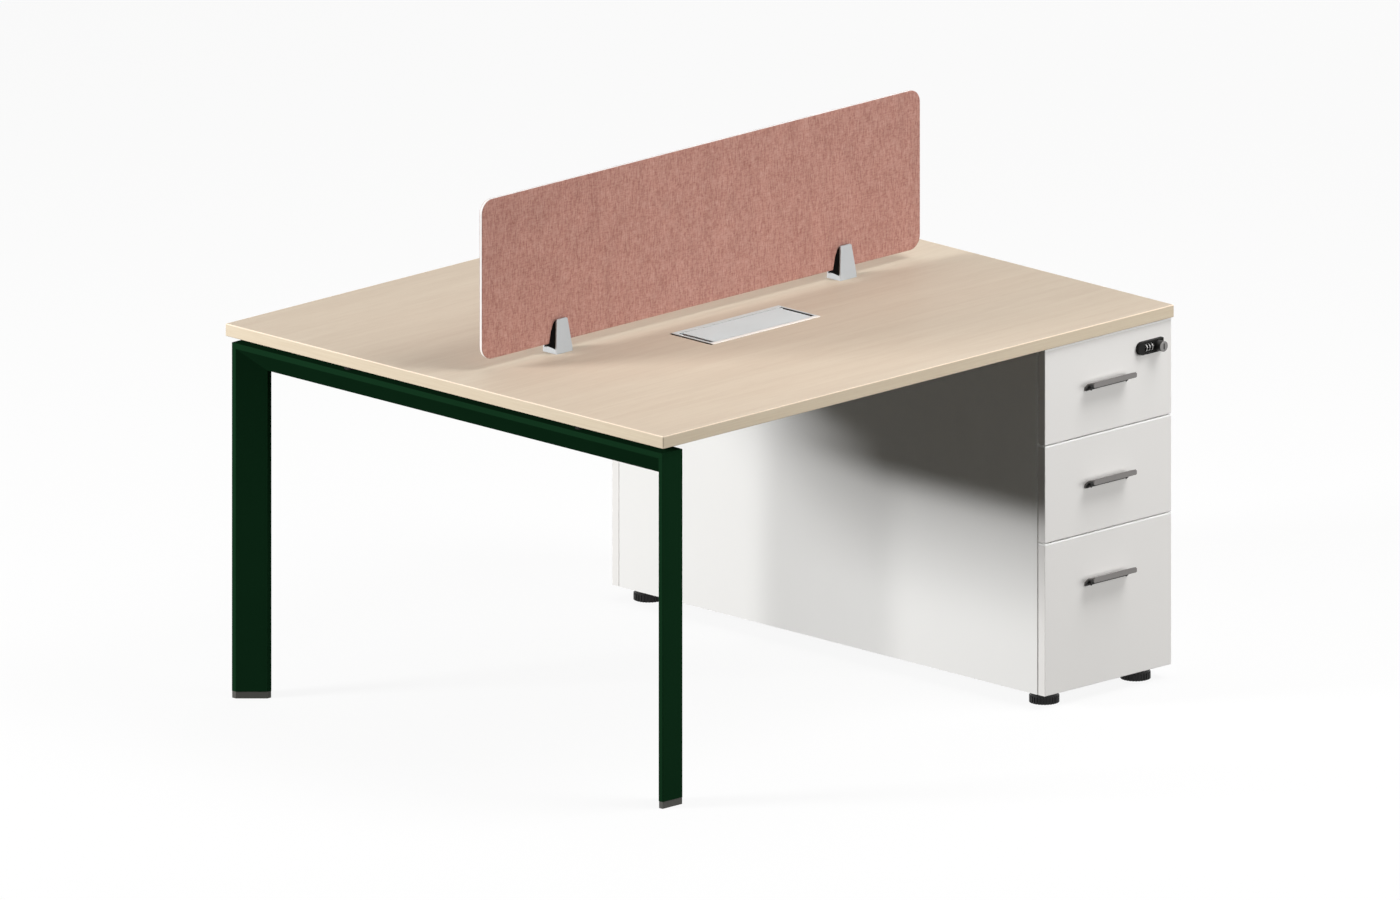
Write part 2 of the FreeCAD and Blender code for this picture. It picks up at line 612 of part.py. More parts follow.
def runner_section(side, inset, moving):
    """C-shaped section of a runner member, in a drawer's own X and Z."""
    wall = f"({INNER_WIDTH} / 2)"
    web, lip = (wall, f"({wall} - runner_lip)")
    half = "(runner_height / 2)"
    if moving:
        web = f"({wall} - runner_space)"
        lip = f"({web} + runner_lip)"
        half = "(runner_height / 2 - runner_wall - runner_clearance)"
    step = "runner_wall" if moving else "-runner_wall"
    return [(f"{side} * {web}", f"{inset} - {half}"), (f"{side} * {lip}", f"{inset} - {half}"),
            (f"{side} * {lip}", f"{inset} - {half} + runner_wall"),
            (f"{side} * ({web} + {step})", f"{inset} - {half} + runner_wall"),
            (f"{side} * ({web} + {step})", f"{inset} + {half} - runner_wall"),
            (f"{side} * {lip}", f"{inset} + {half} - runner_wall"),
            (f"{side} * {lip}", f"{inset} + {half}"), (f"{side} * {web}", f"{inset} + {half}")]


def bays():
    """Name, bottom and top of each drawer front, and the height of its box."""
    low = ("pedestal_bottom", f"({SPLIT_LOW} - front_gap / 2)")
    middle = (f"({SPLIT_LOW} + front_gap / 2)", f"({SPLIT_HIGH} - front_gap / 2)")
    top = (f"({SPLIT_HIGH} + front_gap / 2)", f"({UNDERSIDE} - front_gap)")
    return [("low", *low, f"(({low[1]} - {low[0]}) * box_low_share)"),
            ("middle", *middle, f"(({middle[1]} - {middle[0]}) * box_middle_share)"),
            ("top", *top, f"({LOCK_LEVEL} - lock_room - {top[0]} - box_rise)")]


def fixed_runners():
    """Cabinet members of the twelve drawer runners, screwed to the side panels."""
    body = new_body("cabinet_runners", (PEDESTAL_MIDDLE, "0", "0"))
    start = "(front_thickness + runner_setback)"
    for side in (-1, 1):
        first = f"{FRONT_FACE} - {start}"
        level = f"-({first})" if side < 0 else f"{first} - {RUNNER_LENGTH}"
        sketch = new_sketch(body, "XZ", level)
        for _, bottom, _, _ in bays():
            middle = f"({bottom} + box_rise + runner_above_box_bottom)"
            for hand in (-1, 1):
                polygon(sketch, runner_section(hand, middle, moving=False))
        pad(body, sketch, RUNNER_LENGTH)


def drawer_front(label, base, turned, bottom, top, locked):
    """Overlay front, drilled for the handle and cut for the lock."""
    body = new_body(label, base, turned)
    outline = new_sketch(body, "XZ")
    half = "(pedestal_width / 2 - front_side_gap)"
    rectangle(outline, f"-{half}", half, bottom, top)
    pad(body, outline, "front_thickness")
    fillet(body, in_plane(body, "0"), "front_edge_rounding")
    holes = new_sketch(body, "XZ")
    split = top_split(bottom)
    for side in (-1, 1):
        circle(holes, f"{side} * handle_boss_spacing / 2 - handle_shift",
               f"{split} - handle_drop + handle_foot / 2", "handle_screw_diameter")
    pocket(body, holes)
    if locked:
        opening = new_sketch(body, "XZ")
        rectangle(opening, "lock_shift - housing_length / 2 - housing_clearance",
                  "lock_shift + housing_length / 2 + housing_clearance",
                  f"{LOCK_LEVEL} - housing_height / 2 - housing_clearance",
                  f"{LOCK_LEVEL} + housing_height / 2 + housing_clearance")
        pocket(body, opening)


def top_split(bottom):
    """Height of the joint line above a drawer, from which its handle hangs."""
    for name, low, _, _ in bays():
        if low == bottom:
            return {"low": SPLIT_LOW, "middle": SPLIT_HIGH, "top": UNDERSIDE}[name]


def drawer_box(label, base, turned, bottom, height):
    """Folded steel box with turned-in hems, and the moving members of its runners."""
    body = new_body(label, base, turned)
    half = f"({INNER_WIDTH} / 2 - runner_space)"
    floor = f"({bottom} + box_rise)"
    outline = new_sketch(body, "XZ", "front_thickness")
    rectangle(outline, f"-{half}", half, floor, f"{floor} + {height}")
    pad(body, outline, BOX_DEPTH)
    hollow = new_sketch(body, "XY", f"{floor} + box_wall")
    rectangle(hollow, f"-({half} - box_wall)", f"{half} - box_wall",
              "front_thickness + box_wall", f"front_thickness + {BOX_DEPTH} - box_wall")
    pocket(body, hollow, f"{height} - box_wall - box_hem_drop", backward=False)
    mouth = new_sketch(body, "XY", f"{floor} + box_wall")
    rectangle(mouth, f"-({half} - box_hem)", f"{half} - box_hem",
              "front_thickness + box_wall", f"front_thickness + {BOX_DEPTH} - box_wall")
    pocket(body, mouth, height, backward=False)
    under = new_sketch(body, "XY", f"{floor} + {height} - box_wall - box_hem_drop")
    for side in (-1, 1):
        edges_ = (f"{side} * ({half} - box_wall)", f"{side} * ({half} - box_hem + box_wall)")
        rectangle(under, *edges_, "front_thickness + box_wall",
                  f"front_thickness + {BOX_DEPTH} - box_wall")
    pocket(body, under, "box_hem_drop", backward=False)
    runners = new_sketch(body, "XZ", "front_thickness + runner_setback")
    for side in (-1, 1):
        polygon(runners, runner_section(side, f"({floor} + runner_above_box_bottom)", True))
    pad(body, runners, RUNNER_LENGTH)


def handle(label, base, turned, bottom):
    """Bent strip pull: foot, rising back, sloped top and a front lip, open at both ends."""
    body = new_body(label, base, turned)
    start = f"({top_split(bottom)} - handle_drop)"
    # Y and Z of the outer skin from the foot to the lip, then back along the inner skin.
    section = [("0", "0"), ("0", "handle_foot"),
               ("-handle_shoulder_reach", "handle_shoulder_rise"),
               ("-handle_reach", "handle_rise"),
               ("-handle_reach", "handle_rise - handle_lip"),
               ("-(handle_reach - handle_wall)", "handle_rise - handle_lip"),
               ("-(handle_reach - handle_wall)", "handle_rise - handle_crown"),
               ("-(handle_shoulder_reach + handle_hollow_shift)",
                "handle_shoulder_rise - handle_hollow"),
               ("-handle_heel", "handle_foot - handle_heel_drop"),
               ("-handle_heel", "0")]
    sketch = new_sketch(body, "YZ", "-handle_shift - handle_length / 2")
    polygon(sketch, [(across, f"{start} + {up}") for across, up in section])
    pad(body, sketch, "handle_length")
    doc.recompute()
    fillet(body, lambda edge: along(edge, ACROSS) and near(
        edge.CenterOfMass.z, f"{start} + handle_rise - handle_lip"), "handle_corner")
    ends = new_sketch(body, "XZ")
    crown = f"{start} + handle_rise"
    for side in (-1, 1):
        tip = f"{side} * handle_length / 2 - handle_shift"
        polygon(ends, [(tip, f"{crown} - handle_end_cut"),
                       (f"{tip} + {side} * overrun", f"{crown} - handle_end_cut"),
                       (f"{tip} + {side} * overrun", f"{crown} + overrun"),
                       (f"{tip} - {side} * handle_end_cut", f"{crown} + overrun"),
                       (f"{tip} - {side} * handle_end_cut", crown)])
    pocket(body, ends)
    bosses = new_sketch(body, "XZ")
    bores = new_sketch(body, "XZ")
    for side in (-1, 1):
        place = (f"{side} * handle_boss_spacing / 2 - handle_shift", f"{start} + handle_foot / 2")
        circle(bosses, *place, "handle_boss_diameter")
        circle(bores, *place, "handle_screw_diameter")
    pad(body, bosses, "handle_shoulder_reach", backward=True)
    pocket(body, bores, "handle_shoulder_reach - handle_wall", backward=False)


def lock_body(label, base, turned):
    """Face plate with one round end, rear housing, wheel pockets and their axle."""
    body = new_body(label, base, turned)
    plate = new_sketch(body, "XZ", "-lock_depth")
    rectangle(plate, "lock_shift - lock_length / 2", "lock_shift + lock_length / 2",
              f"{LOCK_LEVEL} - lock_height / 2", f"{LOCK_LEVEL} + lock_height / 2")
    pad(body, plate, "lock_depth")
    doc.recompute()
    middle = body.Placement.Base.x
    outward = -1 if turned else 1

    def corners(end):
        """Test for the plate's corner edges at one of its ends."""
        return lambda edge: along(edge, ACROSS) and near(
            (edge.Vertexes[0].Point.x - middle) * outward, f"lock_shift + {end} * lock_length / 2")

    fillet(body, corners(-1), "lock_height / 2 - lock_end_land")
    fillet(body, corners(1), "lock_corner")
    fillet(body, in_plane(body, "-lock_depth"), "lock_face_rounding")
    housing = new_sketch(body, "XZ")
    rectangle(housing, "lock_shift - housing_length / 2", "lock_shift + housing_length / 2",
              f"{LOCK_LEVEL} - housing_height / 2", f"{LOCK_LEVEL} + housing_height / 2")
    pad(body, housing, "housing_depth")
    slots = new_sketch(body, "XZ", "-lock_depth")
    for number in (-1, 0, 1):
        across = f"({wheel_place(number)})"
        half = "(wheel_width / 2 + wheel_clearance)"
        tall = "(wheel_diameter / 2 + wheel_clearance)"
        rectangle(slots, f"{across} - {half}", f"{across} + {half}",
                  f"{LOCK_LEVEL} - {tall}", f"{LOCK_LEVEL} + {tall}")
    pocket(body, slots, "wheel_diameter - wheel_proud + wheel_clearance", backward=False)
    axle = new_sketch(body, "YZ", f"{wheel_place(-1)} - wheel_pitch")
    circle(axle, WHEEL_AXIS, LOCK_LEVEL, "axle_diameter")
    pad(body, axle, "4 * wheel_pitch")
    bore = new_sketch(body, "XZ")
    circle(bore, "lock_shift + knob_shift", LOCK_LEVEL, "spindle_diameter + 2 * axle_clearance")
    pocket(body, bore)


def wheel_place(number):
    return f"lock_shift - wheel_shift + {number} * wheel_pitch"


def number_wheel(label, base, turned, number):
    """Code wheel with ten notches between its digits."""
    body = new_body(label, base, turned)
    disc = new_sketch(body, "YZ", f"{wheel_place(number)} - wheel_width / 2")
    circle(disc, WHEEL_AXIS, LOCK_LEVEL, "wheel_diameter")
    circle(disc, WHEEL_AXIS, LOCK_LEVEL, "axle_diameter + 2 * axle_clearance")
    pad(body, disc, "wheel_width")
    notches = new_sketch(body, "YZ", f"{wheel_place(number)} - wheel_width / 2")
    digits = int(size("wheel_digits"))
    for turn in range(digits):
        angle = f"({turn + 1 / 2} * 360 / wheel_digits)"
        corners = []
        for reach, swing in (("wheel_notch", "-wheel_notch_angle"),
                             ("wheel_notch", "wheel_notch_angle"), ("-wheel_notch", "0")):
            ring = f"(wheel_diameter / 2 + {reach})"
            corners.append((f"{WHEEL_AXIS} + {ring} * cos({angle} + {swing})",
                            f"{LOCK_LEVEL} + {ring} * sin({angle} + {swing})"))
        polygon(notches, corners)
    pocket(body, notches, "wheel_width", backward=False)


def lock_knob(label, base, turned):
    """Turn knob with a coin slot, its spindle and the locking cam."""
    body = new_body(label, base, turned)
    across = "(lock_shift + knob_shift)"
    head = new_sketch(body, "XZ", "-(lock_depth + knob_gap)")
    circle(head, across, LOCK_LEVEL, "knob_diameter")
    pad(body, head, "knob_length", backward=True)
    fillet(body, in_plane(body, "-(lock_depth + knob_gap + knob_length)"), "knob_rounding")
    grip = new_sketch(body, "XZ", "-(lock_depth + knob_gap + knob_length)")
    rectangle(grip, f"{across} - knob_grip_width / 2", f"{across} + knob_grip_width / 2",
              f"{LOCK_LEVEL} - knob_grip_length / 2", f"{LOCK_LEVEL} + knob_grip_length / 2")
    pocket(body, grip, "knob_grip_depth", backward=False)
    spindle = new_sketch(body, "XZ", "-(lock_depth + knob_gap)")
    circle(spindle, across, LOCK_LEVEL, "spindle_diameter")
    pad(body, spindle, "spindle_length")
    cam = new_sketch(body, "XZ", "spindle_length - lock_depth - knob_gap - cam_thickness")
    rectangle(cam, f"{across} - cam_reach", f"{across} + cam_width / 2",
              f"{LOCK_LEVEL} - cam_width / 2", f"{LOCK_LEVEL} + cam_width / 2")
    pad(body, cam, "cam_thickness")


def drawers():
    """Two banks of three drawers; the back bank is the front one turned about."""
    for bank, turned in (("front", False), ("back", True)):
        base = (PEDESTAL_MIDDLE, FRONT_FACE if turned else f"-{FRONT_FACE}", "0")
        for name, bottom, top, height in bays():
            label = f"{bank}_{name}"
            locked = name == "top"
            drawer_front(f"drawer_front_{label}", base, turned, bottom, top, locked)
            drawer_box(f"drawer_box_{label}", base, turned, bottom, height)
            handle(f"handle_{label}", base, turned, bottom)
        lock_body(f"lock_body_{bank}", base, turned)
        lock_knob(f"lock_knob_{bank}", base, turned)
        for number, name in ((-1, "left"), (0, "middle"), (1, "right")):
            number_wheel(f"code_wheel_{bank}_{name}", base, turned, number)


def screen_outline(body, inset, level):
    """Sketch of the screen's rounded outline, drawn in by an inset."""
    sketch = new_sketch(body, "XZ", level)
    rounded_rectangle(sketch, f"({SCREEN_HALF[0]} - {inset})", f"({SCREEN_HALF[1]} - {inset})",
                      f"(screen_corner_radius - {inset})", "0", SCREEN_MIDDLE)
    return sketch


def screen():
    """Rigid core, its two fabric faces, and the trim strip round the core."""
    core_thickness = "screen_thickness - 2 * fabric_thickness"
    core = new_body("screen_core")
    pad(core, screen_outline(core, "trim_thickness", "0"), core_thickness, both_ways=True)
    cover = new_body("screen_fabric")
    for side in (-1, 1):
        level = "-screen_thickness / 2" if side < 0 else "screen_thickness / 2 - fabric_thickness"
        pad(cover, screen_outline(cover, "0", level), "fabric_thickness")
    trim = new_body("screen_edge_trim")
    pad(trim, screen_outline(trim, "0", "0"), core_thickness, both_ways=True)
    fillet(trim, lambda edge: not along(edge, ACROSS), "trim_rounding")
    pocket(trim, screen_outline(trim, "trim_thickness", "0"))


def jaw_reach(level):
    """Distance from the screen's middle to a jaw's leaning face, at a height on the clip."""
    lean = "(jaw_bottom_thickness - jaw_top_thickness) / clip_height"
    return f"(screen_thickness / 2 + jaw_bottom_thickness - {lean} * ({level}))"


def screen_clips():
    """Two saddles: a ridged foot on the worktop and two leaning, tapered cheeks."""
    body = new_body("screen_clips")
    base, crown = f"({jaw_reach('0')} + clip_plate)", f"({jaw_reach('clip_height')} + clip_plate)"
    for side in (-1, 1):
        middle = f"{side} * clip_from_middle"
        sketch = new_sketch(body, "YZ", f"{middle} - clip_base_width / 2")
        polygon(sketch, [(f"-{base}", "top_height"), (base, "top_height"),
                         (crown, "top_height + clip_height"),
                         (f"-{crown}", "top_height + clip_height")])
        pad(body, sketch, "clip_base_width")
    # The jaw's space between the cheeks.
    space = new_sketch(body, "YZ")
    heel, mouth = jaw_reach("clip_heel"), jaw_reach("clip_height + overrun")
    polygon(space, [(f"-{heel}", "top_height + clip_heel"),
                    ("-screen_thickness / 2", "top_height + clip_foot"),
                    ("screen_thickness / 2", "top_height + clip_foot"),
                    (heel, "top_height + clip_heel"),
                    (mouth, "top_height + clip_height + overrun"),
                    (f"-{mouth}", "top_height + clip_height + overrun")])
    pocket(body, space)
    # The cheeks narrow towards the top.
    taper = new_sketch(body, "XZ")
    for side in (-1, 1):
        for hand in (-1, 1):
            middle = f"{side} * clip_from_middle"
            corner = [("clip_base_width / 2", "top_height + clip_heel"),
                      ("clip_top_width / 2", "top_height + clip_height"),
                      ("clip_top_width / 2", "top_height + clip_height + overrun"),
                      ("clip_base_width / 2 + overrun", "top_height + clip_height + overrun"),
                      ("clip_base_width / 2 + overrun", "top_height + clip_heel")]
            polygon(taper, [(f"{middle} + {hand} * ({across})", up) for across, up in corner])
    pocket(body, taper)
    fillet(body, lambda edge: along(edge, ACROSS) and near(
        edge.CenterOfMass.z, "top_height + clip_height"), "clip_corner")


def jaw_outline(body, middle, level, at_cheek):
    """Sketch of a jaw's outline, where it meets the screen or where it meets a cheek."""
    foot = "clip_heel" if at_cheek else "clip_foot"
    rise = f"(jaw_height - {foot})"
    slope = "(clip_base_width - clip_top_width) / 2 / (clip_height - clip_heel)"
    stations = []
    for share, width in (("0", "jaw_foot_width"), ("jaw_waist_share", "jaw_waist_width"),
                         ("jaw_shoulder_share", "jaw_shoulder_width"), ("1", "jaw_crown_width")):
        half = f"{width} / 2"
        if at_cheek:
            half = f"clip_base_width / 2 - {slope} * {rise} * {share}"
        stations.append((f"({half})", f"top_height + {foot} + {rise} * {share}"))
    sketch = new_sketch(body, "XZ", level)
    polygon(sketch, [(f"{middle} - {half}", up) for half, up in stations]
            + [(f"{middle} + {half}", up) for half, up in reversed(stations)])
    return sketch


def clip_jaws():
    """Saddles under the screen, flared from the clips' cheeks to its two faces."""
    body = new_body("screen_clip_jaws")
    for side in (-1, 1):
        middle = f"{side} * clip_from_middle"
        seat = new_sketch(body, "XY", "top_height + clip_foot")
        rectangle(seat, f"{middle} - jaw_foot_width / 2", f"{middle} + jaw_foot_width / 2",
                  "-screen_thickness / 2", "screen_thickness / 2")
        pad(body, seat, "screen_gap - clip_foot")
        for face in (-1, 1):
            flare = body.newObject("PartDesign::AdditiveLoft", body.Label + "_flare")
            flare.Profile = jaw_outline(body, middle, f"{face} * screen_thickness / 2", False)
            flare.Sections = [jaw_outline(body, middle, f"{face} * {jaw_reach('clip_heel')}", True)]
            flare.Ruled = True
    # The flares lean with the cheeks.
    lean = new_sketch(body, "YZ")
    heel, crown = jaw_reach("clip_heel"), jaw_reach("jaw_height")
    for face in (-1, 1):
        polygon(lean, [(f"{face} * {heel}", "top_height + clip_heel"),
                       (f"{face} * ({heel} + overrun)", "top_height + clip_heel"),
                       (f"{face} * ({heel} + overrun)", "top_height + jaw_height"),
                       (f"{face} * {crown}", "top_height + jaw_height")])
    pocket(body, lean)


def bezels():
    """Moulded frames of the cable boxes: flange, collar, hinge holes and lid rest."""
    body = new_body("cable_box_bezels")
    top = "(top_height + bezel_proud)"
    flange = new_sketch(body, "XY", f"{top} - bezel_thickness")
    collar = new_sketch(body, "XY", f"{top} - bezel_thickness - bezel_collar")
    opening = new_sketch(body, "XY", top)
    mouth = ("(flap_length / 2 + flap_slot)", "(flap_depth / 2 + flap_gap)")
    outer = (f"({mouth[0]} + bezel_wall)", f"({mouth[1]} + bezel_wall)")
    for _, across, middle in bezel_sides():
        rounded_rectangle(flange, "bezel_length / 2", "bezel_depth / 2", "bezel_corner",
                          across, middle)
        rectangle(collar, f"{across} - {outer[0]}", f"{across} + {outer[0]}",
                  f"{middle} - {outer[1]}", f"{middle} + {outer[1]}")
        rectangle(opening, f"{across} - {mouth[0]}", f"{across} + {mouth[0]}",
                  f"{middle} - {mouth[1]}", f"{middle} + {mouth[1]}")
    pad(body, flange, "bezel_thickness")
    fillet(body, lambda edge: all(near(item.Point.z, top) for item in edge.Vertexes),
           "bezel_rounding")
    pad(body, collar, "bezel_collar")
    pocket(body, opening)
    ledge = new_sketch(body, "XY", f"{top} - flap_thickness - rest_drop")
    for side, across, middle in bezel_sides():
        user_edge = f"{middle} + {side} * {mouth[1]}"
        rectangle(ledge, f"{across} - {mouth[0]}", f"{across} + {mouth[0]}",
                  user_edge, f"{user_edge} - {side} * rest_reach")
    pad(body, ledge, "rest_thickness", backward=True)
    for side, across, _ in bezel_sides():
        pins = new_sketch(body, "YZ", across)
        circle(pins, flap_axis(side), FLAP_LEVEL, "hinge_pin_diameter + 2 * hinge_clearance")
        cut = pocket(body, pins)
        cut.Type = "Length"
        bind(cut, "Length", "flap_length + 2 * (flap_slot + hinge_engagement + hinge_end_clearance)")


def flap_axis(side):
    """Y of a flap's hinge axis, along its edge next to the screen."""
    return f"({side} * (bezel_centre - flap_depth / 2 + hinge_barrel_diameter / 2))"


def flap(label, side, across, middle):
    """Lid with a rolled hinge edge and a pin at each end of it."""
    body = new_body(label)
    top = "(top_height + bezel_proud)"
    outer = f"{middle} + {side} * flap_depth / 2"
    plate = new_sketch(body, "XY", f"{top} - flap_thickness")
    rectangle(plate, f"{across} - flap_length / 2", f"{across} + flap_length / 2",
              outer, flap_axis(side))
    pad(body, plate, "flap_thickness")
    fillet(body, lambda edge: along(edge, UP) and near(edge.CenterOfMass.y, outer), "flap_corner")
    barrel = new_sketch(body, "YZ", across)
    circle(barrel, flap_axis(side), FLAP_LEVEL, "hinge_barrel_diameter")
    pad(body, barrel, "flap_length", both_ways=True)
    pins = new_sketch(body, "YZ", across)
    circle(pins, flap_axis(side), FLAP_LEVEL, "hinge_pin_diameter")
    pad(body, pins, "flap_length + 2 * (flap_slot + hinge_engagement)", both_ways=True)


def trays():
    """Folded sheet troughs under the worktop, below the cable boxes, open at their ends."""
    body = new_body("cable_trays")
    sketch = new_sketch(body, "YZ", "-tray_length / 2")
    half = "(flap_depth / 2 + flap_gap + bezel_wall + bezel_side_gap)"
    for _, _, middle in bezel_sides():
        outer, inner = f"({half} + tray_wall)", half
        points = [(f"-({outer} + tray_flange)", "0"), (f"-{inner}", "0"),
                  (f"-{inner}", "tray_wall - tray_drop"), (inner, "tray_wall - tray_drop"),
                  (inner, "0"), (f"{outer} + tray_flange", "0"),
                  (f"{outer} + tray_flange", "-tray_wall"), (outer, "-tray_wall"),
                  (outer, "-tray_drop"), (f"-{outer}", "-tray_drop"),
                  (f"-{outer}", "-tray_wall"), (f"-({outer} + tray_flange)", "-tray_wall")]
        polygon(sketch, [(f"{middle} + {across}", f"{UNDERSIDE} + {up}") for across, up in points])
    pad(body, sketch, "tray_length")


def write_parts():
    """Check every object, then write each sub-part under its label."""
    doc.recompute()
    failed = [item.Name for item in doc.Objects if {"Invalid", "Error"} & set(item.State)]
    if failed:
        raise RuntimeError(f"failed objects: {failed}")
    os.makedirs("parts", exist_ok=True)
    for part in sub_parts:
        shape = part.Shape
        if shape.isNull() or not shape.isValid() or not shape.Solids:
            raise RuntimeError(f"bad shape: {part.Label}")
        shape.exportStep(f"parts/{part.Label}.step")
        print(f"{part.Label}: {len(shape.Solids)} solids, {shape.Volume / 1000:.1f} cm3")


worktop()
edge_band()
frame_leg("frame_leg_front", -1)
frame_leg("frame_leg_back", 1)
frame_beam()
leg_caps()
spacers()
support_rails()
rail_bolts()
pedestal_side("pedestal_side_inner", PEDESTAL_LEFT, bolted=True)
pedestal_side("pedestal_side_outer", "top_length / 2 - panel_thickness", bolted=False)
pedestal_base()
foot_inserts()
for foot in foot_places():
    levelling_foot(*foot)
divider()
top_boards()
fixed_runners()
drawers()
screen()
screen_clips()
clip_jaws()
bezels()
for name, place in zip(("cable_flap_front", "cable_flap_back"), bezel_sides()):
    flap(name, *place)
trays()
write_parts()
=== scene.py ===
import math

import bmesh
import bpy
from mathutils import Matrix, Vector


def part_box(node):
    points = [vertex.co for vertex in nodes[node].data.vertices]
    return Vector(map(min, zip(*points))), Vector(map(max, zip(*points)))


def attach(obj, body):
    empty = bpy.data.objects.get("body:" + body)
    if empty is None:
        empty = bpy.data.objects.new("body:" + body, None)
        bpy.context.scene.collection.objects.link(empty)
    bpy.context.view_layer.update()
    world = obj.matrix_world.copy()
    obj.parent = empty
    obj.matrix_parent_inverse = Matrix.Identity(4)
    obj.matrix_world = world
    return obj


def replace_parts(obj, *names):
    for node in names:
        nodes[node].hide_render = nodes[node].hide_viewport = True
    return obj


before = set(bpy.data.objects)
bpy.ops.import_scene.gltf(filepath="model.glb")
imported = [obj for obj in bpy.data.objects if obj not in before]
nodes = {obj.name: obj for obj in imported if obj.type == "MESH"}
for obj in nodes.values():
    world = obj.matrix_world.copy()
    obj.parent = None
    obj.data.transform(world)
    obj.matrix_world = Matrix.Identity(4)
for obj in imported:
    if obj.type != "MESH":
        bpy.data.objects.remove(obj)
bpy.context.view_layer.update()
scene = bpy.context.scene

BANKS = ("front", "back")
BAYS = ("low", "middle", "top")
WHEELS = ("left", "middle", "right")

# The lengths here are in metres, as in the frame.
# The screen's corner radius, as in the CAD source
SCREEN_CORNER = 0.027
# Width of the painted highlight along the cable box's lip towards each user
BEZEL_HIGHLIGHT_WIDTH = 0.0075
# Height of the painted highlight strip at the top of a drawer front
FRONT_HIGHLIGHT_HEIGHT = 0.0032
# Height of the painted highlight along the top arris of the worktop's edge band
BAND_HIGHLIGHT_HEIGHT = 0.0016
# Depth of a handle's front lip
HANDLE_LIP = 0.0015
# Distances from the part's middle plane: the lock's plated steel ends, and the knob's disc begins
LOCK_STEEL_END, LOCK_DISC_START = 0.6008, 0.6159
# A digit's size, the weight added to its strokes, its relief and its gap to the wheel
DIGIT_SIZE, DIGIT_WEIGHT, DIGIT_RELIEF, DIGIT_GAP = 0.0066, 0.00008, 0.00006, 0.00002
DIGIT_COUNT = 10
# The digit that faces the user at rest
FIRST_DIGIT = 7

FRONT_TONE = (0.85, 0.835, 0.815)
# Colour of the painted highlight strip at the top of each drawer front
FRONT_HIGHLIGHT_TONE = (1.0, 1.0, 0.99)

# Sockets of Blender's colour mix node
MIX_SHARE, MIX_FIRST, MIX_SECOND, MIX_RESULT = 0, 6, 7, 2


